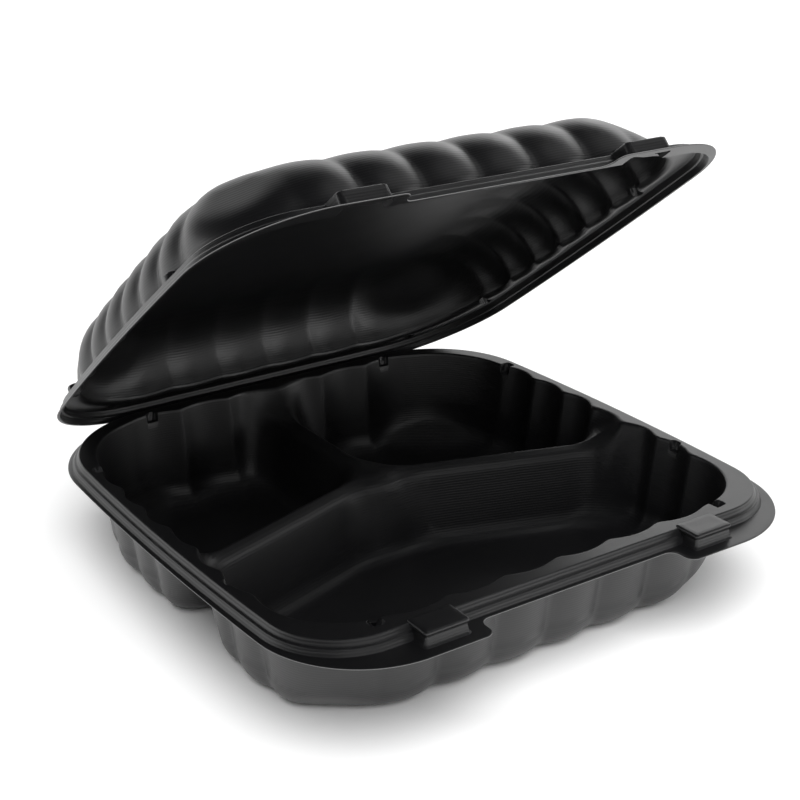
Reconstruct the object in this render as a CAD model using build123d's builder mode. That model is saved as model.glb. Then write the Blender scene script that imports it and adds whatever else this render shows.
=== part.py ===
"""Three-compartment takeout container formed from one plastic sheet: a tray and a lid on a live hinge."""
import os
from itertools import pairwise
from math import cos, radians, sin, tan

from build123d import *

# Driving dimensions, in millimetres
width = 228.0  # flange, across its bowed sides
depth = 225.0  # hinge line to the front edge between the latch tabs
sheet = 0.5  # thickness of the formed sheet
flange_height = 40.0  # table to the parting plane, where the hinge is
rim_height = 5.0  # parting plane to the flat land on top of the rim
dome_height = 34.5  # parting plane to the top of the lid
open_angle = 36.3  # degrees that the lid stands open
nest_gap = 0.35  # free play between the closed lid and the tray
overrun = 1.0  # how far cuts run past what they cut

# Rim: outline of the flange, and the stepped slope up to the land
side_bow = 4.7  # how far each side swells beyond its corners
rear_corner_radius = 50.0
front_corner_radius = 33.0
lip = 1.6  # flat edge outside the slope
slope_run = 1.2  # each of the two steps of the slope
ledge = 0.8  # flat between the two steps
slope_inset = lip + 2 * slope_run + ledge
step_rise = rim_height / 2

# Ears: the wide front corners of the flange, with the latch
ear_reach = 10.0  # tray ear, past the front edge
lid_ear_reach = 8.0
ear_radius = 42.0
ear_gap = 88.0  # clear front edge between the ears
ear_end_radius = 4.0
tab_spacing = 120.0  # between the middles of the two tabs
tab_width = 18.0
tab_reach = 4.6  # tab's front face, past the front edge
tab_root = 7.0  # tab's back, inside the front edge
tab_rise = 5.4  # tab's top above the parting plane
snap_lip = 0.7  # how far the tab's head overhangs its neck
snap_height = 1.6  # height of that head

# Fluted walls: valley lines below the land, with a bump between each two valleys
side_land = 6.2  # slope to the valley line, at the sides
front_land = 8.4
rear_land = 7.2
flute_count = 6  # on each side, besides the wide bump at each corner
corner_run = 42.0  # rim's side to the first valley, along the front and rear
side_corner_run = 51.3  # front edge to the first valley, along the sides
flute_depth = 3.0
flute_flats = 5  # each bump is a run of narrow flats on an arc
corner_flats = 8
front_corner_share = 0.25
rear_corner_share = 0.33
front_slope_share = 1.25  # how much faster the front wall leans in
turn_shares = (0.0, 0.34, 0.67, 1.0)  # of the quarter turn from wall to floor
tray_draft = 7.5  # degrees
tray_turn_radius = 13.0
lid_draft = 16.0
lid_turn_radius = 24.0
facet_depth = 3.0  # cut off the turn at each corner
facet_tilt = 45.0  # degrees, from the table

# Divider: a hollow Y that parts the tray into one front and two rear compartments
divider_rise = 33.5  # its crest above the table
crest_width = 5.0
crest_bevel = 1.2  # taken off each edge of the crest
divider_draft = 15.0  # degrees
foot_flare = 3.0  # how far its foot spreads, and how high
fork = 20.5  # where the three legs meet, behind the middle
arm_angle = 18.0  # degrees that each arm leans forward
crotch_radius = 24.0  # between two legs at the crest, in plan

# Stacking lugs: small square pockets in the inner edge of the land
lug_side = 5.0
lug_depth = 4.0
lug_offset = 1.5  # lug's middle, outside the valley line
tray_across_shares = (0.53, 0.68)  # of the half width, for the rear pair and the front pair
tray_along_shares = (0.55, -0.44)  # of the half depth, on the sides
lid_across_shares = (0.68, 0.53)
lid_along_shares = (0.59, -0.49)

# Hinge: a round fold on the tray, which the lid's edge turns about
fold_radius = 0.5
fold_length = width - 2 * side_bow - 2 * rear_corner_radius

half_width = width / 2
half_depth = depth / 2
tray_flange = flange_height - nest_gap / 2  # top of the tray's flange
lid_flange = flange_height + nest_gap / 2  # underside of the lid's flange
tray_land = tray_flange + rim_height
lid_land = lid_flange + rim_height
tab_top = flange_height + tab_rise
hinge = Plane((0, half_depth, flange_height))
lid_hinge = hinge.rotated((-open_angle, 0, 0))
lid_frame = Plane(
    lid_hinge.from_local_coords((0, -half_depth, -flange_height)),
    x_dir=lid_hinge.x_dir,
    z_dir=lid_hinge.z_dir,
)


def draw_rim(sketch, reach, corner_radius):
    """Draws the bowed outline of the rim in sketch, with its front edge moved out by reach."""
    side = half_width - side_bow
    front = -half_depth - reach
    with BuildLine() as outline:
        Line((side, half_depth), (-side, half_depth))
        ThreePointArc((-side, half_depth), (-half_width, 0), (-side, front))
        Line((-side, front), (side, front))
        ThreePointArc((side, front), (half_width, 0), (side, half_depth))
    make_face(outline.edges())
    fillet(sketch.vertices().group_by(Axis.Y)[-1], rear_corner_radius)
    fillet(sketch.vertices().group_by(Axis.Y)[0], corner_radius)


def rim_face(plane, inset):
    """Outline of the rim moved in by inset."""
    with BuildSketch(plane) as outline:
        draw_rim(outline, 0, front_corner_radius)
        if inset:
            offset(amount=-inset)
    return outline.sketch.face()


def flange_face(plane, reach):
    """Flat flange with an ear at each front corner, cut back between the ears."""
    with BuildSketch(plane) as flange:
        draw_rim(flange, reach, ear_radius)
        with Locations((0, -half_depth - reach)):
            Rectangle(ear_gap, 2 * reach, mode=Mode.SUBTRACT)
        front = flange.vertices().filter_by_position(Axis.Y, -depth, -half_depth + overrun)
        fillet(front.filter_by_position(Axis.X, -tab_spacing / 2, tab_spacing / 2), ear_end_radius)
    return flange.sketch.face()


def rim_steps(frame, base, inset):
    """The two tapered steps of the rim above base, each as its lower and upper outline."""
    middle = frame.offset(base + step_rise)
    top = frame.offset(base + rim_height)
    lower = [rim_face(frame.offset(base), lip + inset), rim_face(middle, lip + slope_run + inset)]
    upper = [rim_face(middle, lip + slope_run + ledge + inset), rim_face(top, slope_inset + inset)]
    return [lower, upper]


def valley_points(inset, skin):
    """Valley points of the front, right, rear and left wall, moved in by inset and skin."""
    side = half_width - slope_inset - side_land - inset - skin
    front = half_depth - slope_inset - front_land - front_slope_share * inset - skin
    rear = half_depth - slope_inset - rear_land - inset - skin
    shares = [2 * step / flute_count - 1 for step in range(flute_count + 1)]
    across = [share * (half_width - corner_run) for share in shares]
    along = [share * (half_depth - side_corner_run) for share in shares]
    bows = [side - side_bow * (y / half_depth) ** 2 for y in along]
    return [
        [Vector(x, -front) for x in across],
        [Vector(x, y) for x, y in zip(bows, along)],
        [Vector(-x, rear) for x in across],
        [Vector(-x, -y) for x, y in zip(bows, along)],
    ]


def corner_bumps(walls):
    """Start, middle and end of the wide bump that follows each wall."""
    shares = (front_corner_share, rear_corner_share, rear_corner_share, front_corner_share)
    bumps = []
    for turn, share in enumerate(shares):
        start = walls[turn][-1]
        end = walls[(turn + 1) % len(walls)][0]
        corner = Vector(end.X, start.Y) if turn % 2 == 0 else Vector(start.X, end.Y)
        bumps.append((start, corner + (start + end - corner * 2) * share, end))
    return bumps


def flat_points(arc, flats):
    """Points that divide an arc evenly into flats."""
    return [arc @ (step / flats) for step in range(flats + 1)]


def fluted_face(plane, walls):
    """Section of a fluted wall: a bump between each two valley points, and a wide one at each corner."""
    with BuildSketch(plane) as section:
        with BuildLine():
            for wall, bump in zip(walls, corner_bumps(walls)):
                for start, end in pairwise(wall):
                    arc = SagittaArc(start, end, -flute_depth, mode=Mode.PRIVATE)
                    Polyline(flat_points(arc, flute_flats))
                arc = ThreePointArc(*bump, mode=Mode.PRIVATE)
                Polyline(flat_points(arc, corner_flats))
        make_face()
    return section.sketch.face()


def fluted_sections(frame, land, direction, height, draft, radius, skin):
    """Sections of a fluted wall from the land at height land, up or down to its flat end."""
    slope = tan(radians(draft))
    lean = (height - radius) * slope
    lip_depth = sheet - skin
    top = valley_points(lip_depth * slope, skin)
    sections = [fluted_face(frame.offset(land + direction * lip_depth), top)]
    for share in turn_shares:
        angle = radians(90 * share)
        walls = valley_points(lean + (radius - skin) * (1 - cos(angle)), skin)
        travel = height - radius + (radius - skin) * sin(angle)
        sections.append(fluted_face(frame.offset(land + direction * travel), walls))
    return sections


def corner_facets(frame, land, direction, height, draft, radius, skin):
    """Planes that cut the turn flat at each corner of a fluted wall."""
    tilt = radians(facet_tilt)
    lean = (height - radius) * tan(radians(draft))
    travel = land + direction * (height - radius + radius * sin(tilt))
    planes = []
    for start, middle, end in corner_bumps(valley_points(lean + radius * (1 - cos(tilt)), 0)):
        outward = (middle - (start + end) / 2).normalized()
        normal = outward * cos(tilt) + Vector(0, 0, direction * sin(tilt))
        facet = Plane(middle + Vector(0, 0, travel) - normal * (facet_depth + skin), z_dir=normal)
        planes.append(Plane(frame.location * facet.location))
    return planes


def divider_face(height, spread):
    """Y of three legs, as wide as the crest and then spread on all sides, with rounded crotches."""
    leg = width
    across = crest_width + 2 * spread
    with BuildSketch(Plane.XY.offset(height)) as section:
        with Locations((0, fork)):
            Rectangle(across, leg, align=(Align.CENTER, Align.MIN))
            Rectangle(leg, across, rotation=-arm_angle, align=(Align.MIN, Align.CENTER))
            Rectangle(leg, across, rotation=arm_angle, align=(Align.MAX, Align.CENTER))
        crotches = section.vertices().sort_by_distance((0, fork))[:3]
        fillet(crotches, crotch_radius - spread)
    return section.sketch.face()


def divider_sections(skin):
    """Flared foot, wall, shoulder and crest of the Y, moved in by skin on all sides."""
    lean = (divider_rise - foot_flare - crest_bevel) * tan(radians(divider_draft))
    foot = divider_face(0, lean + foot_flare - skin)
    wall = divider_face(foot_flare, lean - skin)
    shoulder = divider_face(divider_rise - crest_bevel, -skin)
    crest = divider_face(divider_rise - skin, -crest_bevel)
    return [foot, wall, shoulder, crest]


def lug_places(across_shares, along_shares):
    """Middles of the stacking lugs: two at the rear, two at the front and two on each side."""
    rear, front = [share * half_width for share in across_shares]
    along = [share * half_depth for share in along_shares]
    rear_y = half_depth - slope_inset - rear_land + lug_offset
    front_y = half_depth - slope_inset - front_land + lug_offset
    places = [(rear, rear_y), (-rear, rear_y), (front, -front_y), (-front, -front_y)]
    for y in along:
        side = half_width - slope_inset - side_land + lug_offset - side_bow * (y / half_depth) ** 2
        places += [(side, y), (-side, y)]
    return places


def lug_faces(plane, places, skin):
    """Square outlines of the stacking lugs, grown by skin."""
    with BuildSketch(plane) as lugs:
        with Locations(*places):
            Rectangle(lug_side + 2 * skin, lug_side + 2 * skin)
    return lugs.sketch.faces()


def tab_faces(plane, grow):
    """Outlines of the two latch tabs, grown all round."""
    with BuildSketch(plane) as tabs:
        with Locations((0, -half_depth + (tab_root - tab_reach) / 2)):
            with GridLocations(tab_spacing, 0, 2, 1):
                Rectangle(tab_width + 2 * grow, tab_root + tab_reach + 2 * grow)
    return tabs.sketch.faces()


with BuildPart() as ridge:
    loft(divider_sections(0), ruled=True)

with BuildPart() as channel:
    loft(divider_sections(sheet), ruled=True)

# Tray
tray_wall = (Plane.XY, tray_land, -1, tray_land, tray_draft, tray_turn_radius)
tray_lugs = lug_places(tray_across_shares, tray_along_shares)
tray_base = Plane.XY.offset(tray_flange - sheet)
tab_rise_in_all = tab_top - tray_flange + sheet

with BuildPart() as tray_form:
    loft(fluted_sections(*tray_wall, 0), ruled=True)
    for facet in corner_facets(*tray_wall, 0):
        split(bisect_by=facet, keep=Keep.BOTTOM)

with BuildPart() as tray_void:
    sections = fluted_sections(*tray_wall, sheet)
    loft(sections, ruled=True)
    for facet in corner_facets(*tray_wall, sheet):
        split(bisect_by=facet, keep=Keep.BOTTOM)
    extrude(sections[0], amount=overrun)
    add(ridge.part, mode=Mode.SUBTRACT)
    extrude(lug_faces(Plane.XY.offset(tray_land + overrun), tray_lugs, 0), amount=-lug_depth - overrun)

with BuildPart() as tray:
    extrude(flange_face(tray_base, ear_reach), amount=sheet)
    for step in rim_steps(Plane.XY, tray_flange, 0):
        loft(step)
    for step in rim_steps(Plane.XY, tray_flange - sheet, sheet):
        loft(step, mode=Mode.SUBTRACT)
    for foot, neck in zip(tab_faces(tray_base, 0), tab_faces(Plane.XY.offset(tab_top), -snap_lip)):
        loft([foot, neck])
    extrude(tab_faces(Plane.XY.offset(tab_top), 0), amount=-snap_height)
    add(tray_form.part)
    extrude(lug_faces(Plane.XY.offset(tray_land - sheet), tray_lugs, sheet), amount=-lug_depth)
    add(channel.part, mode=Mode.SUBTRACT)
    add(tray_void.part, mode=Mode.SUBTRACT)
    extrude(tab_faces(tray_base, -snap_lip - sheet), amount=tab_rise_in_all - sheet, mode=Mode.SUBTRACT)
    with Locations(hinge):
        Cylinder(fold_radius, fold_length, rotation=(0, 90, 0))
tray.part.label = "tray"

# Lid, in its open place
dome_rise = flange_height + dome_height - lid_land
lid_wall = (lid_frame, lid_land, 1, dome_rise, lid_draft, lid_turn_radius)
lid_lugs = lug_places(lid_across_shares, lid_along_shares)
lid_base = lid_frame.offset(lid_flange)
pocket_rise = tab_top + nest_gap - lid_flange

with BuildPart() as lid_form:
    loft(fluted_sections(*lid_wall, 0), ruled=True)
    for facet in corner_facets(*lid_wall, 0):
        split(bisect_by=facet, keep=Keep.BOTTOM)

with BuildPart() as lid_void:
    sections = fluted_sections(*lid_wall, sheet)
    loft(sections, ruled=True)
    for facet in corner_facets(*lid_wall, sheet):
        split(bisect_by=facet, keep=Keep.BOTTOM)
    extrude(sections[0], amount=-overrun)
    extrude(lug_faces(lid_frame.offset(lid_land - overrun), lid_lugs, 0), amount=lug_depth + overrun)

with BuildPart() as lid:
    extrude(flange_face(lid_base, lid_ear_reach), amount=sheet)
    for step in rim_steps(lid_frame, lid_flange + sheet, -nest_gap - sheet):
        loft(step)
    extrude(tab_faces(lid_base, nest_gap + sheet), amount=pocket_rise + sheet)
    for step in rim_steps(lid_frame, lid_flange, -nest_gap):
        loft(step, mode=Mode.SUBTRACT)
    add(lid_form.part)
    extrude(lug_faces(lid_frame.offset(lid_land + sheet), lid_lugs, sheet), amount=lug_depth)
    add(lid_void.part, mode=Mode.SUBTRACT)
    extrude(tab_faces(lid_base, nest_gap), amount=pocket_rise, mode=Mode.SUBTRACT)
    with Locations(hinge):
        Cylinder(fold_radius + nest_gap, width, rotation=(0, 90, 0), mode=Mode.SUBTRACT)
lid.part.label = "lid"

os.makedirs("parts", exist_ok=True)
export_step(tray.part, "parts/tray.step")
export_step(lid.part, "parts/lid.step")
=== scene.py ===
"""Looks of the takeout container: two formed sheets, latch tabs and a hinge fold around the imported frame."""
from math import atan2, cos, pi, radians, sin, sqrt, tan

import bpy
import numpy as np
from mathutils import Matrix, Vector
from mathutils.geometry import delaunay_2d_cdt


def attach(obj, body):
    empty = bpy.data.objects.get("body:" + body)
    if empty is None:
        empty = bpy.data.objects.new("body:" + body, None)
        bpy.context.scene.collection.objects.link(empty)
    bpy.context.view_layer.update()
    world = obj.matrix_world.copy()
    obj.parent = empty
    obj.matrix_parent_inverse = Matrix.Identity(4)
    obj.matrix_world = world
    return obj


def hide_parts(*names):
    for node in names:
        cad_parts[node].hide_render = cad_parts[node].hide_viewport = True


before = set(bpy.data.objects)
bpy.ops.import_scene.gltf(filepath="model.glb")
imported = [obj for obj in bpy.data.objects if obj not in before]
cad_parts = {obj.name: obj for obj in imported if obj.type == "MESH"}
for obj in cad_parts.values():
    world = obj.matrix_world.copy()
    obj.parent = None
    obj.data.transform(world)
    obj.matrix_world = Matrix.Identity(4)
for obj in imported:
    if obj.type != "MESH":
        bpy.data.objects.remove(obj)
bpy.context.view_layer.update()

MM = 0.001
TINY = 1e-9

# Sizes of the frame's solids, in millimetres
HALF_WIDTH = 114.0
HALF_DEPTH = 112.5
SHEET = 0.5
HINGE_Z = 40.0
OPEN_ANGLE = radians(36.3)
NEST_GAP = 0.35
RIM_HEIGHT = 5.0
DOME_TOP = 74.5

# Flange, rim and latch tabs
SIDE_BOW = 4.7
REAR_RADIUS = 50.0
FRONT_RADIUS = 33.0
LIP = 1.6
SLOPE_RUN = 1.2
LEDGE = 0.8
SLOPE_INSET = LIP + 2 * SLOPE_RUN + LEDGE
EAR_RADIUS = 42.0
EAR_GAP = 88.0
EAR_END_RADIUS = 4.0
TAB_X = 60.0
TAB_WIDTH = 18.0
TAB_REACH = 4.6
TAB_ROOT = 7.0
TAB_TOP = 45.4
POCKET_LEVEL = DOME_TOP - SHEET - TAB_TOP - NEST_GAP
FOLD_RADIUS = 0.5
FOLD_GAP = 0.1

# Land, fluted walls and corner facets
SIDE_LAND = 6.2
FRONT_LAND = 8.4
REAR_LAND = 7.2
FLUTES = 6
FLUTE_DEPTH = 3.0
PIVOT_X = 72.0
PIVOT_Y = 61.2
FRONT_SHARE = 0.25
REAR_SHARE = 0.33
FRONT_SLOPE = 1.25
FACET_DEPTH = 3.2
FACET_TILT = sqrt(0.5)

# Divider and stacking lugs
CREST_Z = 34.1
CREST_WIDTH = 5.0
DIVIDER_DRAFT = tan(radians(15))
FORK_Y = 20.5
ARM_ANGLE = radians(18)
LEGS = ((0, 1), (cos(ARM_ANGLE), -sin(ARM_ANGLE)), (-cos(ARM_ANGLE), -sin(ARM_ANGLE)))
LUG_SIDE = 5.0
LUG_DEPTH = 4.0
LUG_OFFSET = 1.5

# How softly one face of the sheet runs into the next
WALL_BLEND = 20.0
FORK_BLEND = 20.0
ARM_BLEND = 8.0
FLOOR_BLEND = 6.0
FACET_BLEND = 1.2
CORNER_BLEND = 9.0
LUG_BLEND = 0.8
LUG_RADIUS = 1.6
CREST_BLEND = 6.5
VALLEY_BLEND = 1.5
RIM_ROUND = 0.35
POCKET_ROUND = 1.5
POCKET_EDGE = 0.1
POCKET_WALL = 0.35
POCKET_REAR = 0.8

# Inset and drop of the loops that roll the flange's cut edge
EDGE_ROLL = ((0.01, 0.34), (0.1, 0.1), (0.3, 0))

# Rise above the flange and growth of a tab's foot, then drop below the top and growth of its neck and head
TAB_FOOT = ((-SHEET, 0.9), (0, 0.85), (0.25, 0.4), (0.7, 0.1), (1.4, -0.1))
TAB_NECK = ((2.4, -0.5), (1.9, -0.62), (1.7, -0.55), (1.58, -0.12))
TAB_HEAD = ((1.4, 0), (0.7, 0), (0.35, -0.1), (0.1, -0.35), (0, -0.8), (0, -2.5), (0.05, -5.5))
TAB_ROUND = 1.2
TAB_LEAST_ROUND = 0.2

# Places along half of the wall, from the middle of the front to the middle of the rear
CORNER_ARC = 30.0
FRONT_END = PIVOT_X + CORNER_ARC * pi / 2
SIDE_END = FRONT_END + 2 * PIVOT_Y
REAR_START = SIDE_END + CORNER_ARC * pi / 2
WALL_END = REAR_START + PIVOT_X

# How many points the outlines have
CLEAR_POINTS = 26
EAR_END_POINTS = 9
EAR_POINTS = 14
FRONT_POINTS = 50
FRONT_ARC_POINTS = 40
BOW_POINTS = 100
REAR_ARC_POINTS = 50
REAR_POINTS = 44
BUMP_POINTS = 40
CORNER_POINTS = 80
SOFT_POINTS = 6000
TAB_CORNER_POINTS = 9
FOLD_SIDES = 16

# How finely the sheet is divided into rays and rings
FLUTE_STEPS = 14
CORNER_STEPS = 26
RAY_CLEAR = 0.35
RIM_START = 0.25
RIM_END = 0.6
LAND_RINGS = 9
LAND_END = 1.4
LUG_GAPS = (-0.5, -0.12, 0.12, 0.5)
LUG_MARGIN = 0.3
EDGE_GAPS = (1.0, 0.7, 0.45, 0.25, 0.1)
WALL_SHARES = (0, 0.012, 0.03, 0.055, 0.08, *np.linspace(0.12, 1, 9))
TURN_RINGS = 14
LEAST_STEP = 0.03
HALVINGS = 40
NORMAL_GAP = 0.12

# How finely the flange, its latch pockets and the floor are filled
EAR_STEP = 2.0
EAR_ROW = 1.6
EAR_FRONT = -121.0
EAR_REAR = -70.0
EAR_CLEAR = 0.9
LIP_CLEAR = 0.5
POCKET_GAPS = (-1.6, -1.1, -0.7, -0.4, -0.15, 0.0, 0.12, 0.4)
POCKET_ENDS = 1.2
POCKET_STEP = 0.8
POCKET_SIDE_STEP = 0.4
POCKET_INNER = 2.0
POCKET_OUTER = 0.9
POCKET_NORMALS = 0.5
FLOOR_X = 96.0
FLOOR_Y = 92.0
FLOOR_STEP = 4.0
FOOT_CLEAR = 1.0
FORK_DISC = 24.0
FORK_STEP = 1.1
FORK_CLEAR = 0.4
LEG_LENGTH = 110.0
LEG_STEP = 1.6
LEG_BAND = 15.0
LEG_CLEAR = 2.0
CREST_BAND = 4.2
CREST_STEP = 0.6
FLANK_STEP = 1.2
FILL_INSIDE = 1
FILL_ACCURACY = 1e-6
SHARP_ANGLE = radians(60)

# Colours, and the attribute that marks the cut edge, which is painted a lighter grey: partly the cut plastic's
# own colour, partly a painted highlight line along the edge
CUT_AND_SHEEN_EDGE = "cut_and_sheen_edge"
BLACK = (0.004, 0.004, 0.0044, 1)
# Grey of the cut edge: partly the cut plastic's own lighter colour, partly a painted highlight line
CUT_AND_SHEEN_GREY = (0.22, 0.22, 0.22, 1)
WHITE = (1, 1, 1, 1)
PALE = (0.93, 0.93, 0.93, 1)

# Studio, in metres
FLOOR_REACH = 12.0
FLOOR_SIDES = 48
BACKDROP_HEIGHT = 1.8
LAMP_TARGET = (0, 0, 0.05)
SUN_DIRECTION = (0.35, 0.7, -1.2)

# Camera
AZIMUTH = radians(-34.01)
ELEVATION = radians(22.10)
ROLL = radians(-0.29)
CAMERA_PLACE = (-0.3151, -0.4677, 0.3005)
SENSOR = 36
LENS = 68.91


class Form:
    """Levels and slopes of one formed sheet, seen with its open side up and its flat end at height 0."""

    def __init__(self, flange, land, draft, turn, edge_blend, ear_reach, rim_grow, lugs, divided):
        self.flange = flange
        self.land = land
        self.draft = tan(radians(draft))
        self.turn = turn - SHEET
        self.lean = (land - self.turn) * self.draft
        self.edge_blend = edge_blend
        self.ear_reach = ear_reach
        self.rim_grow = rim_grow
        self.lugs = lugs
        self.divided = divided


def smooth_min(a, b, k):
    """The lesser of two values, run into each other where they differ by less than k."""
    h = np.maximum(k - np.abs(a - b), 0) / k
    return np.minimum(a, b) - h * h * k / 4


def smooth_max(a, b, k):
    """The greater of two values, run into each other where they differ by less than k."""
    return -smooth_min(-a, -b, k)


def circle_through(start, middle, end):
    """Centre and radius of the circle through three points."""
    (ax, ay), (bx, by), (cx, cy) = start, middle, end
    d = 2 * (ax * (by - cy) + bx * (cy - ay) + cx * (ay - by))
    a2, b2, c2 = ax * ax + ay * ay, bx * bx + by * by, cx * cx + cy * cy
    ox = (a2 * (by - cy) + b2 * (cy - ay) + c2 * (ay - by)) / d
    oy = (a2 * (cx - bx) + b2 * (ax - cx) + c2 * (bx - ax)) / d
    return ox, oy, sqrt((ax - ox) ** 2 + (ay - oy) ** 2)


def arc_points(centre, radius, start, end, count):
    """Points of an arc about centre, from the direction of start to that of end."""
    first = atan2(start[1] - centre[1], start[0] - centre[0])
    sweep = (atan2(end[1] - centre[1], end[0] - centre[0]) - first + pi) % (2 * pi) - pi
    angles = first + sweep * np.linspace(0, 1, count)
    return np.column_stack([centre[0] + radius * np.cos(angles), centre[1] + radius * np.sin(angles)])


def bump_points(start, middle, end, count):
    """Points of the bump of a fluted wall that runs through three points."""
    ox, oy, radius = circle_through(start, middle, end)
    return arc_points((ox, oy), radius, start, end, count)


def level_points(start, end, y, count):
    """Points of a straight line across the container."""
    return np.column_stack([np.linspace(start, end, count), np.full(count, y)])


def joined(parts):
    """One run of points from parts that each start where the one before ends."""
    return np.vstack([part[:-1] for part in parts[:-1]] + [parts[-1]])


def grid_points(x, y):
    """Both coordinates of the points of a grid."""
    grid_x, grid_y = np.meshgrid(x, y)
    return grid_x.ravel(), grid_y.ravel()


def wall_place(x, y):
    """Place along half of the wall, from the front's middle to the rear's, and reach outwards."""
    across = np.minimum(np.abs(x), PIVOT_X)
    along = np.clip(y, -PIVOT_Y, PIVOT_Y)
    dx = np.abs(x) - across
    dy = y - along
    deep = -np.minimum(PIVOT_X - across, PIVOT_Y - np.abs(along))
    inner = (dx == 0) & (dy == 0)
    sideways = PIVOT_X - across < PIVOT_Y - np.abs(along)
    ends = np.where(y < 0, 0, pi)
    turn = np.where(inner, np.where(sideways, pi / 2, ends), np.arctan2(dx, -dy))
    along = np.where(inner & ~sideways, np.where(y < 0, -PIVOT_Y, PIVOT_Y), along)
    across = np.where(inner & sideways, PIVOT_X, across)
    run = np.where(turn < pi / 2, across, 2 * PIVOT_X - across)
    return CORNER_ARC * turn + along + PIVOT_Y + run, np.where(inner, deep, np.hypot(dx, dy))


def wall_ray(place):
    """Start and direction of the outward ray at each place along half of the wall."""
    turn = np.interp(place, [PIVOT_X, FRONT_END, SIDE_END, REAR_START], [0, pi / 2, pi / 2, pi])
    across = np.interp(place, [0, PIVOT_X, REAR_START, WALL_END], [0, PIVOT_X, PIVOT_X, 0])
    along = np.interp(place, [FRONT_END, SIDE_END], [-PIVOT_Y, PIVOT_Y])
    return across, along, np.sin(turn), -np.cos(turn)


def rim_outline(inset, reach=0.0, front_radius=FRONT_RADIUS, ears=False):
    """Right half of the rim's outline moved in by inset, from the front's middle to the rear's."""
    side = HALF_WIDTH - SIDE_BOW
    front = -HALF_DEPTH - reach
    cx, cy, bow = circle_through((side, HALF_DEPTH), (HALF_WIDTH, 0), (side, front))
    front_y = front + front_radius
    front_x = cx + sqrt((bow - front_radius) ** 2 - (front_y - cy) ** 2)
    rear_y = HALF_DEPTH - REAR_RADIUS
    rear_x = cx + sqrt((bow - REAR_RADIUS) ** 2 - (rear_y - cy) ** 2)
    centre = np.array([cx, cy])
    bow_start = centre + bow * np.array([front_x - cx, front_y - cy]) / (bow - front_radius)
    bow_end = centre + bow * np.array([rear_x - cx, rear_y - cy]) / (bow - REAR_RADIUS)
    parts = []
    if ears:
        gap = EAR_GAP / 2
        inner = (gap - EAR_END_RADIUS, -HALF_DEPTH - EAR_END_RADIUS)
        outer = (gap + EAR_END_RADIUS, front + EAR_END_RADIUS)
        parts.append(level_points(0, inner[0], -HALF_DEPTH, CLEAR_POINTS))
        start, end = (inner[0], 0), (gap, inner[1])
        parts.append(arc_points(inner, EAR_END_RADIUS, start, end, EAR_END_POINTS))
        start, end = (gap, outer[1]), (outer[0], front)
        parts.append(arc_points(outer, EAR_END_RADIUS, start, end, EAR_END_POINTS))
        parts.append(level_points(outer[0], front_x, front + inset, EAR_POINTS))
    else:
        parts.append(level_points(0, front_x, front + inset, FRONT_POINTS))
    start, end = (front_x, front), bow_start
    parts.append(arc_points((front_x, front_y), front_radius - inset, start, end, FRONT_ARC_POINTS))
    parts.append(arc_points(centre, bow - inset, bow_start, bow_end, BOW_POINTS))
    start, end = bow_end, (rear_x, HALF_DEPTH)
    parts.append(arc_points((rear_x, rear_y), REAR_RADIUS - inset, start, end, REAR_ARC_POINTS))
    parts.append(level_points(rear_x, 0, HALF_DEPTH - inset, REAR_POINTS))
    return joined(parts)


def corner_middles(inset):
    """Valley beside, middle and valley beyond of the wide bump at the front and at the rear corner."""
    side = HALF_WIDTH - SLOPE_INSET - SIDE_LAND - inset - SIDE_BOW * (PIVOT_Y / HALF_DEPTH) ** 2
    front = HALF_DEPTH - SLOPE_INSET - FRONT_LAND - FRONT_SLOPE * inset
    rear = HALF_DEPTH - SLOPE_INSET - REAR_LAND - inset
    bumps = []
    for y, side_y, share in ((-front, -PIVOT_Y, FRONT_SHARE), (rear, PIVOT_Y, REAR_SHARE)):
        start, end, corner = np.array([PIVOT_X, y]), np.array([side, side_y]), np.array([side, y])
        bumps.append((start, corner + (start + end - 2 * corner) * share, end))
    return bumps


def wall_outline():
    """Right half of the inner edge of the land, where the fluted wall starts."""
    front = HALF_DEPTH - SLOPE_INSET - FRONT_LAND - SHEET
    rear = HALF_DEPTH - SLOPE_INSET - REAR_LAND - SHEET
    side = HALF_WIDTH - SLOPE_INSET - SIDE_LAND - SHEET
    along = np.linspace(-PIVOT_Y, PIVOT_Y, FLUTES + 1)
    front_run = level_points(0, PIVOT_X, -front, FLUTES // 2 + 1)
    side_run = np.column_stack([side - SIDE_BOW * (along / HALF_DEPTH) ** 2, along])
    rear_run = level_points(PIVOT_X, 0, rear, FLUTES // 2 + 1)
    front_bump, rear_bump = corner_middles(SHEET)
    corners = [(front_run[-1], front_bump[1], side_run[0]), (side_run[-1], rear_bump[1], rear_run[0])]
    parts = []
    for turn, run in enumerate((front_run, side_run, rear_run)):
        for start, end in zip(run[:-1], run[1:]):
            chord = end - start
            outward = np.array([chord[1], -chord[0]]) / np.hypot(*chord)
            parts.append(bump_points(start, (start + end) / 2 + outward * FLUTE_DEPTH, end, BUMP_POINTS))
        if turn < len(corners):
            parts.append(bump_points(*corners[turn], CORNER_POINTS))
    return joined(parts + [rear_run[-1:]])


def radial(outline):
    """The outline as a function: its reach at each place along the wall."""
    places, reaches = wall_place(outline[:, 0], outline[:, 1])
    places[0] = 0
    return lambda place: np.interp(place, places, reaches)


def softened(reach, blend):
    """A reach whose sharp valleys are rounded, by averaging over places near by."""
    places = np.linspace(-5 * blend, WALL_END + 5 * blend, SOFT_POINTS)
    folded = np.abs(np.where(places > WALL_END, 2 * WALL_END - places, places))
    step = places[1] - places[0]
    half = int(3 * blend / step)
    window = np.arange(-half, half + 1) * step
    weights = np.exp(-0.5 * (window / blend) ** 2)
    reaches = np.convolve(reach(folded), weights / weights.sum(), mode="same")
    return lambda place: np.interp(place, places, reaches)


wall_reach = softened(radial(wall_outline()), VALLEY_BLEND)


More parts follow.
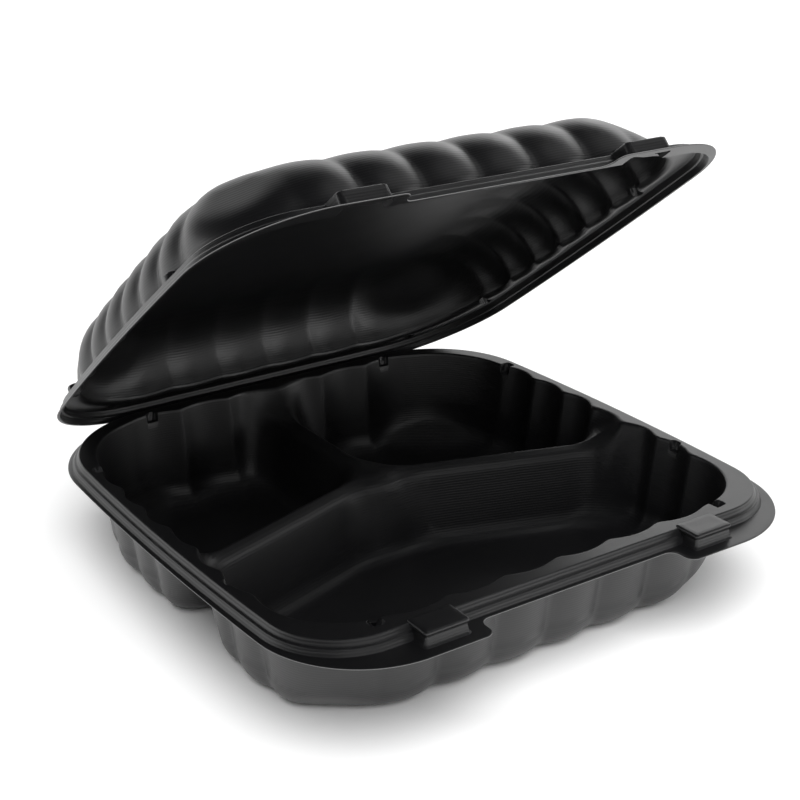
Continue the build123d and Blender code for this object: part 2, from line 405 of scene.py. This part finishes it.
def front_share(place):
    """How much faster than elsewhere the wall leans in, at each place."""
    turn = np.clip((place - PIVOT_X) / CORNER_ARC, 0, pi / 2)
    return 1 + (FRONT_SLOPE - 1) * np.cos(turn) ** 2


def lug_list(rear, front, along):
    """Middles of the stacking lugs on the right half, from their shares of the half width and half depth."""
    rear_y = HALF_DEPTH - SLOPE_INSET - REAR_LAND + LUG_OFFSET
    front_y = HALF_DEPTH - SLOPE_INSET - FRONT_LAND + LUG_OFFSET
    side = HALF_WIDTH - SLOPE_INSET - SIDE_LAND + LUG_OFFSET
    lugs = [(rear * HALF_WIDTH, rear_y), (front * HALF_WIDTH, -front_y)]
    for share in along:
        lugs.append((side - SIDE_BOW * share**2, share * HALF_DEPTH))
    return lugs


def lug_place(lug):
    """Place along the wall and reach of the middle of a lug."""
    place, reach = wall_place(np.array([lug[0]]), np.array([lug[1]]))
    return place[0], reach[0]


def leg_distance(x, y):
    """Distance from the middle lines of the divider's three legs, run together at the fork."""
    dy = y - FORK_Y
    distances = []
    for ux, uy in LEGS:
        ahead = x * ux + dy * uy
        aside = np.abs(x * uy - dy * ux)
        distances.append(np.where(ahead > 0, aside, np.hypot(x, dy)))
    stem, right_arm, left_arm = distances
    return smooth_min(stem, smooth_min(right_arm, left_arm, ARM_BLEND), FORK_BLEND)


def round_box(x, y, half_x, half_y, radius):
    """How far each point lies inside a rectangle with rounded corners."""
    over_x = np.abs(x) - half_x + radius
    over_y = np.abs(y) - half_y + radius
    outside = np.hypot(np.maximum(over_x, 0), np.maximum(over_y, 0))
    return radius - outside - np.minimum(np.maximum(over_x, over_y), 0)


def pocket_inside(x, y):
    """How far each point lies inside a latch pocket of the lid."""
    middle = -HALF_DEPTH + (TAB_ROOT + POCKET_REAR - TAB_REACH) / 2
    half_x = TAB_WIDTH / 2 + NEST_GAP
    half_y = (TAB_ROOT + POCKET_REAR + TAB_REACH) / 2 + NEST_GAP
    return round_box(np.abs(x) - TAB_X, y - middle, half_x, half_y, POCKET_ROUND)


def with_pockets(form, x, y, z):
    """Heights of points of the sheet, lowered inside the latch pockets of the lid."""
    if form.divided:
        return z
    inside = np.clip((pocket_inside(x, y) + POCKET_EDGE) / POCKET_WALL, 0, 1)
    return z + np.minimum(POCKET_LEVEL - z, 0) * np.sqrt(1 - (1 - inside) ** 2)


def corner_facets(form, x, y):
    """Distance beyond each corner's slanted plane at height 0, and the height that belongs to it."""
    rise = (form.turn + SHEET) * (1 - FACET_TILT)
    facets = []
    for start, middle, end in corner_middles(form.lean + rise):
        outward = middle - (start + end) / 2
        outward = outward / np.hypot(*outward)
        flat = (np.abs(x) - middle[0]) * outward[0] + (y - middle[1]) * outward[1]
        facets.append((flat, rise - SHEET))
    return facets


def sheet_height(form, x, y):
    """Height of the sheet's open side at each point inside the rim, by halving the range it lies in."""
    place, reach = wall_place(x, y)
    room = wall_reach(place) - reach
    slope = front_share(place)
    legs = leg_distance(x, y) if form.divided else None
    facets = corner_facets(form, x, y)
    pockets = []
    for lug_x, lug_y in form.lugs:
        pockets.append(round_box(np.abs(x) - lug_x, y - lug_y, LUG_SIDE / 2, LUG_SIDE / 2, LUG_RADIUS))

    def clearance(h):
        """How far a point at height h is from the sheet, negative where it is below."""
        low = np.clip(form.turn - h, 0, form.turn)
        drafted = (form.land - h) * form.draft
        turned = form.lean + form.turn - np.sqrt(form.turn**2 - low**2)
        free = room - slope * np.where(h > form.turn, drafted, turned)
        if form.divided:
            crest = CREST_Z - SHEET
            beside = legs - CREST_WIDTH / 2 - (crest - h) * DIVIDER_DRAFT
            free = smooth_min(free, smooth_max(beside, h - crest, CREST_BLEND), WALL_BLEND)
        for flat, level in facets:
            plane = (h - level - flat) * FACET_TILT - SHEET
            free = smooth_min(free, plane, CORNER_BLEND)
            free = smooth_min(free, plane - FACET_DEPTH, FACET_BLEND)
        free = smooth_max(free, h - form.land, form.edge_blend)
        for inside in pockets:
            lug = smooth_min(inside, h - form.land + LUG_DEPTH, LUG_BLEND)
            free = smooth_max(free, lug, LUG_BLEND / 2)
        return smooth_min(free, h, FLOOR_BLEND)

    low = np.full(x.shape, -1.0)
    high = np.full(x.shape, form.land + 2)
    for _ in range(HALVINGS):
        middle = (low + high) / 2
        solid = clearance(middle) < 0
        low = np.where(solid, middle, low)
        high = np.where(solid, high, middle)
    return high


def sheet_normals(form, x, y):
    """Normals of the sheet's open side at each point, from its slope there, or none near a latch pocket."""
    gap = NORMAL_GAP
    slope_x = (sheet_height(form, x + gap, y) - sheet_height(form, x - gap, y)) / (2 * gap)
    slope_y = (sheet_height(form, x, y + gap) - sheet_height(form, x, y - gap)) / (2 * gap)
    normals = np.column_stack([-slope_x, -slope_y, np.ones_like(x)])
    if not form.divided:
        normals[pocket_inside(x, y) > -POCKET_NORMALS] = 0
    return normals / np.maximum(np.linalg.norm(normals, axis=1), TINY)[:, None]


def rounded(path, cut):
    """Path of inset and rise whose inner corners are cut round."""
    path = [np.array(point, float) for point in path]
    points = [path[0]]
    for before, corner, after in zip(path[:-2], path[1:-1], path[2:]):
        a = corner + (before - corner) * min(cut / np.hypot(*(before - corner)), 0.5)
        b = corner + (after - corner) * min(cut / np.hypot(*(after - corner)), 0.5)
        points += [a, (a + 2 * corner + b) / 4, b]
    return points + [path[-1]]


def ray_places(form):
    """Places of the rays along half of the wall, with one on each side of each lug's and pocket's edges."""
    half = FLUTES // 2 * FLUTE_STEPS
    breaks = (0, PIVOT_X, FRONT_END, SIDE_END, REAR_START, WALL_END)
    counts = (half, CORNER_STEPS, 2 * half, CORNER_STEPS, half)
    places = [np.linspace(a, b, n + 1) for a, b, n in zip(breaks[:-1], breaks[1:], counts)]
    places = np.unique(np.round(np.concatenate(places), 6))
    if form.divided:
        middles = (places[1:] + places[:-1]) / 2
        x, y, dx, dy = wall_ray(middles)
        reach = wall_reach(middles)
        near = leg_distance(x + reach * dx, y + reach * dy) < LEG_BAND
        places = np.sort(np.concatenate([places, middles[near]]))
    edges = []
    for lug in form.lugs:
        place, _ = lug_place(lug)
        for side in (-1, 1):
            edges += [place + side * (LUG_SIDE / 2 + gap) for gap in LUG_GAPS]
    if not form.divided:
        for side in (-1, 1):
            edges += [TAB_X + side * (TAB_WIDTH / 2 + NEST_GAP + gap) for gap in POCKET_GAPS]
    edges = np.array(edges)
    clear = np.abs(places[:, None] - edges[None]).min(1) > RAY_CLEAR
    return np.sort(np.concatenate([places[clear], edges]))


def land_reaches(form, places, outer, inner):
    """Reaches of the rings on the land: even, but on both sides of each lug's outer edge."""
    reaches = outer + (inner - outer) * np.linspace(0, 1, LAND_RINGS)[:, None]
    for lug in form.lugs:
        place, reach = lug_place(lug)
        at = np.abs(places - place) < LUG_SIDE / 2 + LUG_MARGIN
        edge = reach + LUG_SIDE / 2
        near = edge + np.array(LUG_GAPS[::-1])
        reaches[1, at] = (3 * outer[at] + near[0]) / 4
        reaches[2, at] = (outer[at] + near[0]) / 2
        reaches[3:7, at] = near[:, None]
        reaches[7, at] = (inner[at] + near[-1]) / 2
    steps = LEAST_STEP * np.arange(1, LAND_RINGS)[:, None]
    reaches[1:] = np.minimum(reaches[1:], outer - steps)
    return -np.sort(-reaches, axis=0)


def inside_loop(loop, points):
    """Whether each point lies inside a closed loop, seen from above."""
    x, y = points[:, 0], points[:, 1]
    inside = np.zeros(len(points), bool)
    for a, b in zip(loop, np.roll(loop, -1, axis=0)):
        if a[1] != b[1]:
            crosses = (a[1] > y) != (b[1] > y)
            inside ^= crosses & (x < a[0] + (y - a[1]) * (b[0] - a[0]) / (b[1] - a[1]))
    return inside


class Sheet:
    """Points and faces of one side of a formed sheet, gathered piece by piece."""

    def __init__(self):
        self.points = []
        self.normals = []
        self.faces = []
        self.outer = []
        self.count = 0

    def add(self, x, y, z, normals=None):
        """Adds points and returns their numbers."""
        self.points.append(np.column_stack([x, y, z]))
        self.normals.append(np.zeros((len(x), 3)) if normals is None else normals)
        numbers = np.arange(self.count, self.count + len(x))
        self.count += len(x)
        return numbers

    def bridge(self, rings):
        """Joins each closed ring to the next, which has as many points."""
        for outer, inner in zip(rings[:-1], rings[1:]):
            self.faces += zip(outer, np.roll(outer, -1), np.roll(inner, -1), inner)

    def fill(self, loop, extra, keep):
        """Fills a closed loop with triangles that use the extra points, where keep says so."""
        points = np.vstack(self.points)
        numbers = np.concatenate([loop, extra])
        flat = [Vector((points[n][0], points[n][1])) for n in numbers]
        edge = list(range(len(loop)))
        found = delaunay_2d_cdt(flat, [], [edge], FILL_INSIDE, FILL_ACCURACY, True)
        faces, sources = found[2], found[3]
        triangles = np.array([[numbers[sources[i][0]] for i in face] for face in faces])
        middles = points[triangles].mean(1)
        good = inside_loop(points[loop], middles) & keep(middles)
        self.faces += [tuple(triangle) for triangle in triangles[good]]


def mirrored(x, y, z):
    """A half ring from front to rear, closed by its mirror image."""
    return (
        np.concatenate([x, -x[-2:0:-1]]),
        np.concatenate([y, y[-2:0:-1]]),
        np.concatenate([z, z[-2:0:-1]]),
    )


def inside_offset(outline, inset):
    """Half outline moved in along its normals."""
    ahead = np.gradient(outline, axis=0)
    ahead /= np.linalg.norm(ahead, axis=1)[:, None]
    moved = outline + inset * np.column_stack([-ahead[:, 1], ahead[:, 0]])
    moved[0, 0] = moved[-1, 0] = 0
    return moved


def sheet_points(form):
    """The open side of a formed sheet: flange with ears, stepped rim, land, walls, floor and divider."""
    sheet = Sheet()
    places = ray_places(form)
    x0, y0, dx, dy = wall_ray(places)
    edge = wall_reach(places)
    slope = front_share(places)
    rise = form.land - form.flange
    middle = LIP + SLOPE_RUN
    path = [
        (LIP - RIM_START, 0),
        (LIP, 0),
        (middle, rise / 2),
        (middle + LEDGE, rise / 2),
        (SLOPE_INSET, rise),
        (SLOPE_INSET + RIM_END, rise),
    ]
    rings = []
    for inset, up in rounded(path, RIM_ROUND):
        reach = radial(rim_outline(inset - form.rim_grow))(places)
        x, y = x0 + reach * dx, y0 + reach * dy
        z = with_pockets(form, x, y, np.full(len(x), form.flange + up))
        rings.append(sheet.add(*mirrored(x, y, z)))
    outer = radial(rim_outline(path[-1][0] - form.rim_grow))(places)
    reaches = list(land_reaches(form, places, outer, edge + LAND_END)[1:])
    reaches += [edge + gap for gap in EDGE_GAPS]
    reaches += [edge - slope * form.lean * share for share in WALL_SHARES]
    for angle in np.linspace(0, pi / 2, TURN_RINGS + 1)[1:]:
        reaches.append(edge - slope * (form.lean + form.turn * (1 - cos(angle))))
    for reach in reaches:
        x, y = x0 + reach * dx, y0 + reach * dy
        x, y, z = mirrored(x, y, with_pockets(form, x, y, sheet_height(form, x, y)))
        rings.append(sheet.add(x, y, z, sheet_normals(form, x, y)))
    sheet.bridge(rings)
    fill_flange(sheet, form, rings[0], path[0][0])
    fill_floor(sheet, form, rings[-1], slope * (form.lean + form.turn), places)
    return sheet


def pocket_lines():
    """Points beside the edges of the right latch pocket, in a few lines along each."""
    front = -HALF_DEPTH - TAB_REACH - NEST_GAP
    half = TAB_WIDTH / 2
    across = np.arange(TAB_X - half + POCKET_ENDS, TAB_X + half - POCKET_ENDS, POCKET_STEP)
    along = np.arange(front - POCKET_SIDE_STEP, -HALF_DEPTH + LIP, POCKET_SIDE_STEP)
    lines = []
    for gap in POCKET_GAPS:
        lines.append(np.column_stack([across, np.full(len(across), front - gap)]))
    for side in (-1, 1):
        for gap in POCKET_GAPS:
            edge = TAB_X + side * (half + NEST_GAP + gap)
            lines.append(np.column_stack([np.full(len(along), edge), along]))
    return np.vstack(lines)


def fill_flange(sheet, form, inner_ring, inner_inset):
    """Fills the flat edge of the flange and its ears, with a rolled edge."""
    outline = rim_outline(0, form.ear_reach, EAR_RADIUS, ears=True)
    ear_start = CLEAR_POINTS - 1 + EAR_END_POINTS - 1 + EAR_END_POINTS // 3
    ear_reach = radial(outline[ear_start:])
    lip_reach = radial(rim_outline(inner_inset - form.rim_grow))
    if not form.divided:
        outline[:, 1] = np.minimum(outline[:, 1], HALF_DEPTH - FOLD_RADIUS - FOLD_GAP)
    loops = []
    for inset, drop in EDGE_ROLL:
        half = inside_offset(outline, inset)
        loops.append(sheet.add(*mirrored(half[:, 0], half[:, 1], np.full(len(half), form.flange - drop))))
    sheet.bridge(loops)
    columns = np.arange(EAR_GAP / 2 + EAR_STEP, HALF_WIDTH - EAR_STEP, EAR_STEP)
    x, y = grid_points(columns, np.arange(EAR_FRONT, EAR_REAR, EAR_ROW))
    if not form.divided:
        inside = pocket_inside(x, y)
        clear = (inside > POCKET_INNER) | (inside < -POCKET_OUTER)
        lines = pocket_lines()
        x, y = np.concatenate([x[clear], lines[:, 0]]), np.concatenate([y[clear], lines[:, 1]])
    place, reach = wall_place(x, y)
    good = (reach > lip_reach(place) + LIP_CLEAR) & (reach < ear_reach(place) - EAR_CLEAR)
    good &= np.abs(x) > EAR_GAP / 2 + EAR_STEP / 2
    x, y = np.concatenate([x[good], -x[good]]), np.concatenate([y[good], y[good]])
    extra = sheet.add(x, y, with_pockets(form, x, y, np.full(len(x), form.flange)))

    def outside(middles):
        place, reach = wall_place(middles[:, 0], middles[:, 1])
        return reach > lip_reach(place)

    sheet.fill(loops[-1], np.concatenate([inner_ring, extra]), outside)
    sheet.outer = loops[0]


def divider_points():
    """Points over the divider: a fine disc at its fork and rows along its legs."""
    fine = np.arange(-FORK_DISC, FORK_DISC + FORK_STEP, FORK_STEP)
    x, y = grid_points(fine, fine)
    disc = np.hypot(x, y) < FORK_DISC
    xs, ys = [x[disc]], [y[disc] + FORK_Y]
    crest = np.arange(0, CREST_BAND, CREST_STEP)
    flank = np.arange(CREST_BAND + CREST_STEP, LEG_BAND + 1, FLANK_STEP)
    offsets = np.concatenate([crest, flank])
    offsets = np.concatenate([-offsets[:0:-1], offsets])
    aside, ahead = grid_points(offsets, np.arange(FORK_DISC + CREST_STEP, LEG_LENGTH, LEG_STEP))
    clear = np.hypot(aside, ahead) > FORK_DISC + FORK_CLEAR
    aside, ahead = aside[clear], ahead[clear]
    for ux, uy in LEGS:
        xs.append(ux * ahead - uy * aside)
        ys.append(FORK_Y + uy * ahead + ux * aside)
    return np.concatenate(xs), np.concatenate(ys)


def fill_floor(sheet, form, foot_ring, foot_inset, places):
    """Fills the floor inside the walls, with points laid along the divider's legs."""
    columns = np.arange(-FLOOR_X, FLOOR_X + 1, FLOOR_STEP)
    x, y = grid_points(columns, np.arange(-FLOOR_Y, FLOOR_Y + 1, FLOOR_STEP))
    if form.divided:
        far = leg_distance(x, y) > LEG_BAND + LEG_CLEAR
        divider_x, divider_y = divider_points()
        x, y = np.concatenate([x[far], divider_x]), np.concatenate([y[far], divider_y])
    place, reach = wall_place(x, y)
    foot = np.interp(place, places, wall_reach(places) - foot_inset)
    good = reach < foot - FOOT_CLEAR
    x, y = x[good], y[good]
    extra = sheet.add(x, y, sheet_height(form, x, y), sheet_normals(form, x, y))
    sheet.fill(foot_ring, extra, lambda middles: True)


def point_normals(sheet, points):
    """Normals of a sheet's points: the known ones, and the mean of the faces' normals elsewhere."""
    quads = np.array([face if len(face) == 4 else (*face, face[2]) for face in sheet.faces])
    a, b, c, d = (points[quads[:, corner]] for corner in range(4))
    normal = np.cross(c - a, d - b)
    total = np.zeros_like(points)
    for corner in range(4):
        np.add.at(total, quads[:, corner], normal)
    total /= np.maximum(np.linalg.norm(total, axis=1), TINY)[:, None]
    known = np.vstack(sheet.normals)
    return np.where(np.abs(known).sum(1)[:, None] > 0, known, total)


def thick_mesh(name, sheet, to_world, flipped):
    """Mesh of a sheet: its open side, its other side and its outer edge."""
    front = np.vstack(sheet.points)
    normals = point_normals(sheet, front)
    points = np.vstack([front, front - SHEET * normals])
    offset = len(front)
    faces = [tuple(int(i) for i in face) for face in sheet.faces]
    back = [tuple(i + offset for i in reversed(face)) for face in faces]
    edge = [int(i) for i in sheet.outer]
    rim = [(a, a + offset, b + offset, b) for a, b in zip(edge, edge[1:] + edge[:1])]
    faces = faces + back + rim
    if flipped:
        faces = [tuple(reversed(face)) for face in faces]
    mesh = bpy.data.meshes.new(name)
    mesh.from_pydata((to_world(points) * MM).tolist(), [], faces)
    turned = to_world(points + np.vstack([normals, -normals])) - to_world(points)
    mesh.shade_smooth()
    mesh.normals_split_custom_set_from_vertices(turned.tolist())
    # Marks the outer edge's points, which the material paints lighter grey: partly the cut plastic's colour,
    # partly a painted highlight line
    cut = np.zeros(len(points), np.float32)
    cut[edge + [i + offset for i in edge]] = 1
    mesh.attributes.new(CUT_AND_SHEEN_EDGE, "FLOAT", "POINT").data.foreach_set("value", cut)
    return mesh


def tube_mesh(name, tubes):
    """Mesh of closed tubes, each given by its rings of points from one end to the other."""
    points, faces = [], []
    for rings in tubes:
        numbers = []
        for ring in rings:
            numbers.append(list(range(len(points), len(points) + len(ring))))
            points += ring
        for low, high in zip(numbers[:-1], numbers[1:]):
            faces += zip(low, low[1:] + low[:1], high[1:] + high[:1], high)
        faces.append(tuple(reversed(numbers[0])))
        faces.append(tuple(numbers[-1]))
    mesh = bpy.data.meshes.new(name)
    mesh.from_pydata((np.array(points) * MM).tolist(), [], faces)
    mesh.shade_smooth()
    mesh.set_sharp_from_angle(angle=SHARP_ANGLE)
    return mesh


def tab_ring(middle_x, z, grow):
    """Points of a latch tab's rounded outline at one height, grown sideways."""
    middle_y = -HALF_DEPTH + (TAB_ROOT - TAB_REACH) / 2
    radius = max(TAB_ROUND + grow, TAB_LEAST_ROUND)
    half_x = TAB_WIDTH / 2 + grow - radius
    half_y = (TAB_ROOT + TAB_REACH) / 2 + grow - radius
    ring = []
    for quarter, (sign_x, sign_y) in enumerate(((1, 1), (-1, 1), (-1, -1), (1, -1))):
        for share in np.linspace(0, 1, TAB_CORNER_POINTS):
            angle = (quarter + share) * pi / 2
            x = middle_x + sign_x * half_x + radius * cos(angle)
            y = middle_y + sign_y * half_y + radius * sin(angle)
            ring.append((x, y, z))
    return ring


def tab_mesh(name):
    """Mesh of the two latch tabs: a flared foot, a neck, and a head that overhangs it."""
    flange = HINGE_Z - NEST_GAP / 2
    levels = [(flange + rise, grow) for rise, grow in TAB_FOOT]
    levels += [(TAB_TOP - drop, grow) for drop, grow in TAB_NECK + TAB_HEAD]
    return tube_mesh(name, [[tab_ring(x, z, grow) for z, grow in levels] for x in (-TAB_X, TAB_X)])


def fold_mesh(name):
    """Mesh of the round fold along the hinge."""
    half = HALF_WIDTH - SIDE_BOW - REAR_RADIUS
    angles = 2 * pi * np.arange(FOLD_SIDES) / FOLD_SIDES
    y = HALF_DEPTH + FOLD_RADIUS * np.cos(angles)
    z = HINGE_Z + FOLD_RADIUS * np.sin(angles)
    return tube_mesh(name, [[list(zip([x] * FOLD_SIDES, y, z)) for x in (-half, half)]])


def tray_world(points):
    """Moves the tray's points from above its floor to above the table."""
    return points + np.array([0, 0, SHEET])


def lid_world(points):
    """Turns the lid's points over and opens the lid about the hinge."""
    dy = points[:, 1] - HALF_DEPTH
    dz = DOME_TOP - SHEET - points[:, 2] - HINGE_Z
    y = HALF_DEPTH + dy * cos(OPEN_ANGLE) + dz * sin(OPEN_ANGLE)
    z = HINGE_Z - dy * sin(OPEN_ANGLE) + dz * cos(OPEN_ANGLE)
    return np.column_stack([points[:, 0], y, z])


def link_object(name, data):
    """A new object of the scene."""
    item = bpy.data.objects.new(name, data)
    bpy.context.scene.collection.objects.link(item)
    return item


def new_object(name, mesh, material):
    """A new object of the scene with one material."""
    mesh.materials.append(material)
    return link_object(name, mesh)


def set_sockets(node, values):
    """Sets a node's own sockets by name."""
    for name, value in values.items():
        node.inputs[name].default_value = value


def add_node(tree, kind, values):
    """A new node of a material, with the values of its sockets."""
    node = tree.nodes.new(kind)
    set_sockets(node, values)
    return node


def plain_material(name, values):
    """A material with the values of its shader's sockets."""
    material = bpy.data.materials.new(name)
    material.use_nodes = True
    set_sockets(material.node_tree.nodes["Principled BSDF"], values)
    return material


def black_sheet(name, turn):
    """Black satin plastic sheet with the faint lines and grain of its forming, the lines turned about X; its
    marked cut edge is painted a lighter grey, partly the cut plastic's own colour and partly a painted
    highlight.
    """
    material = plain_material(name, {"Specular IOR Level": 0.8})
    tree = material.node_tree
    link = tree.links.new
    shader = tree.nodes["Principled BSDF"]
    # Lighter grey base colour on the marked cut edge: partly the cut plastic's own colour, partly a painted
    # highlight line
    cut = tree.nodes.new("ShaderNodeAttribute")
    cut.attribute_name = CUT_AND_SHEEN_EDGE
    colour = tree.nodes.new("ShaderNodeMix")
    colour.data_type = "RGBA"
    set_sockets(colour, {"A": BLACK, "B": CUT_AND_SHEEN_GREY})
    place = tree.nodes.new("ShaderNodeTexCoord")
    turned = add_node(tree, "ShaderNodeMapping", {"Rotation": (turn, 0, 0)})
    grain = add_node(tree, "ShaderNodeTexNoise", {"Scale": 900, "Detail": 3})
    lines = add_node(tree, "ShaderNodeTexWave", {"Scale": 300, "Distortion": 1.5, "Detail Scale": 0.3})
    lines.bands_direction = "Z"
    cloud = add_node(tree, "ShaderNodeTexNoise", {"Scale": 45, "Detail": 4})
    rough = add_node(tree, "ShaderNodeMapRange", {"To Min": 0.35, "To Max": 0.45})
    relief = add_node(tree, "ShaderNodeMix", {"Factor": 0.7})
    bump = add_node(tree, "ShaderNodeBump", {"Strength": 0.15, "Distance": 0.0003})
    link(cut.outputs["Fac"], colour.inputs["Factor"])
    link(colour.outputs["Result"], shader.inputs["Base Color"])
    link(place.outputs["Object"], turned.inputs["Vector"])
    for texture in (grain, lines, cloud):
        link(turned.outputs["Vector"], texture.inputs["Vector"])
    link(cloud.outputs["Fac"], rough.inputs["Value"])
    link(rough.outputs["Result"], shader.inputs["Roughness"])
    link(grain.outputs["Fac"], relief.inputs["A"])
    link(lines.outputs["Fac"], relief.inputs["B"])
    link(relief.outputs["Result"], bump.inputs["Height"])
    link(bump.outputs["Normal"], shader.inputs["Normal"])
    return material


def facing(direction):
    """Rotation that turns a lamp's beam into a direction."""
    return Vector(direction).to_track_quat("-Z", "Y").to_euler()


def softbox(name, place, width, height, power, target=LAMP_TARGET):
    """A large lamp that faces target."""
    lamp = bpy.data.lights.new(name, "AREA")
    lamp.shape = "RECTANGLE"
    lamp.size = width
    lamp.size_y = height
    lamp.energy = power
    item = link_object(name, lamp)
    item.location = place
    item.rotation_euler = facing(Vector(target) - Vector(place))


def sunlight(power, spread):
    """Broad light from above, which the sheet's gloss doesn't show."""
    lamp = bpy.data.lights.new("sun", "SUN")
    lamp.energy = power
    lamp.angle = spread
    item = link_object("sun", lamp)
    item.rotation_euler = facing(SUN_DIRECTION)
    item.visible_glossy = False


def floor_object(corners):
    """Round pale floor."""
    mesh = bpy.data.meshes.new("floor")
    mesh.from_pydata(corners, [], [tuple(range(FLOOR_SIDES))])
    return new_object("floor", mesh, plain_material("floor", {"Base Color": PALE, "Roughness": 0.9}))


def wall_object(corners):
    """Low white wall round the floor."""
    top = [(x, y, BACKDROP_HEIGHT) for x, y, _ in corners]
    faces = []
    for side in range(FLOOR_SIDES):
        following = (side + 1) % FLOOR_SIDES
        faces.append((side, side + FLOOR_SIDES, following + FLOOR_SIDES, following))
    mesh = bpy.data.meshes.new("backdrop")
    mesh.from_pydata(corners + top, [], faces)
    glow = {"Emission Color": WHITE, "Emission Strength": 1}
    material = plain_material("backdrop", {"Base Color": (0, 0, 0, 1), "Specular IOR Level": 0, **glow})
    item = new_object("backdrop", mesh, material)
    item.visible_shadow = False
    return item


def dim_world(strength):
    """White world of little strength."""
    world = bpy.data.worlds.new("studio")
    world.use_nodes = True
    set_sockets(world.node_tree.nodes["Background"], {"Color": WHITE, "Strength": strength})
    bpy.context.scene.world = world


def photo_camera():
    """Camera at the photo's viewing angle."""
    right = Vector((cos(AZIMUTH), sin(AZIMUTH), 0))
    ahead = Vector((-sin(AZIMUTH), cos(AZIMUTH), 0))
    back = Vector((0, 0, sin(ELEVATION))) - ahead * cos(ELEVATION)
    up = back.cross(right)
    right, up = right * cos(ROLL) + up * sin(ROLL), up * cos(ROLL) - right * sin(ROLL)
    data = bpy.data.cameras.new("camera")
    data.sensor_width = SENSOR
    data.lens = LENS
    item = link_object("camera", data)
    turn = Matrix((right, up, back)).transposed().to_4x4()
    item.matrix_world = Matrix.Translation(Vector(CAMERA_PLACE)) @ turn
    return item


tray_form = Form(
    flange=HINGE_Z - NEST_GAP / 2 - SHEET,
    land=HINGE_Z - NEST_GAP / 2 + RIM_HEIGHT - SHEET,
    draft=7.5,
    turn=13.0,
    edge_blend=1.0,
    ear_reach=10.0,
    rim_grow=0.0,
    lugs=lug_list(rear=0.53, front=0.68, along=(0.55, -0.44)),
    divided=True,
)
lid_form = Form(
    flange=DOME_TOP - SHEET - HINGE_Z - NEST_GAP / 2,
    land=DOME_TOP - SHEET - HINGE_Z - NEST_GAP / 2 - RIM_HEIGHT,
    draft=16.0,
    turn=27.0,
    edge_blend=2.4,
    ear_reach=8.0,
    rim_grow=NEST_GAP,
    lugs=lug_list(rear=0.68, front=0.53, along=(0.59, -0.49)),
    divided=False,
)
tray_material = black_sheet("black_sheet", 0)
lid_material = black_sheet("black_sheet_lid", OPEN_ANGLE)
tray_mesh = thick_mesh("tray_sheet", sheet_points(tray_form), tray_world, flipped=False)
lid_mesh = thick_mesh("lid_sheet", sheet_points(lid_form), lid_world, flipped=True)
tray = new_object("tray_sheet", tray_mesh, tray_material)
lid = new_object("lid_sheet", lid_mesh, lid_material)
tabs = new_object("latch_tabs", tab_mesh("latch_tabs"), tray_material)
fold = new_object("hinge_fold", fold_mesh("hinge_fold"), tray_material)
for piece, body in ((tray, "tray"), (lid, "lid"), (tabs, "tray"), (fold, "tray")):
    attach(piece, body)
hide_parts("tray")
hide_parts("lid")

floor_angles = 2 * pi * np.arange(FLOOR_SIDES) / FLOOR_SIDES
floor_corners = [(FLOOR_REACH * cos(angle), FLOOR_REACH * sin(angle), 0) for angle in floor_angles]
floor = floor_object(floor_corners)
wall = wall_object(floor_corners)

dim_world(0.02)
softbox("backdrop", place=(0.6, 1.8, 0.8), width=2.2, height=0.9, power=9)
softbox("front", place=(-0.15, -1.7, 0.8), width=1.6, height=0.7, power=2)
softbox("right", place=(1.75, 0.8, 0.85), width=1.4, height=0.8, power=7)
softbox("overhead", place=(0.95, -0.3, 1.5), width=1.2, height=1.2, power=2, target=(0, 0, 0.1))
softbox("left", place=(-1.5, 0.8, 0.35), width=0.7, height=0.5, power=1)
softbox("fill", place=(1.15, -1.05, 0.25), width=1.2, height=0.4, power=2)
sunlight(power=4.0, spread=radians(50))
bpy.context.scene.camera = photo_camera()
bpy.context.scene.view_settings.view_transform = "Standard"
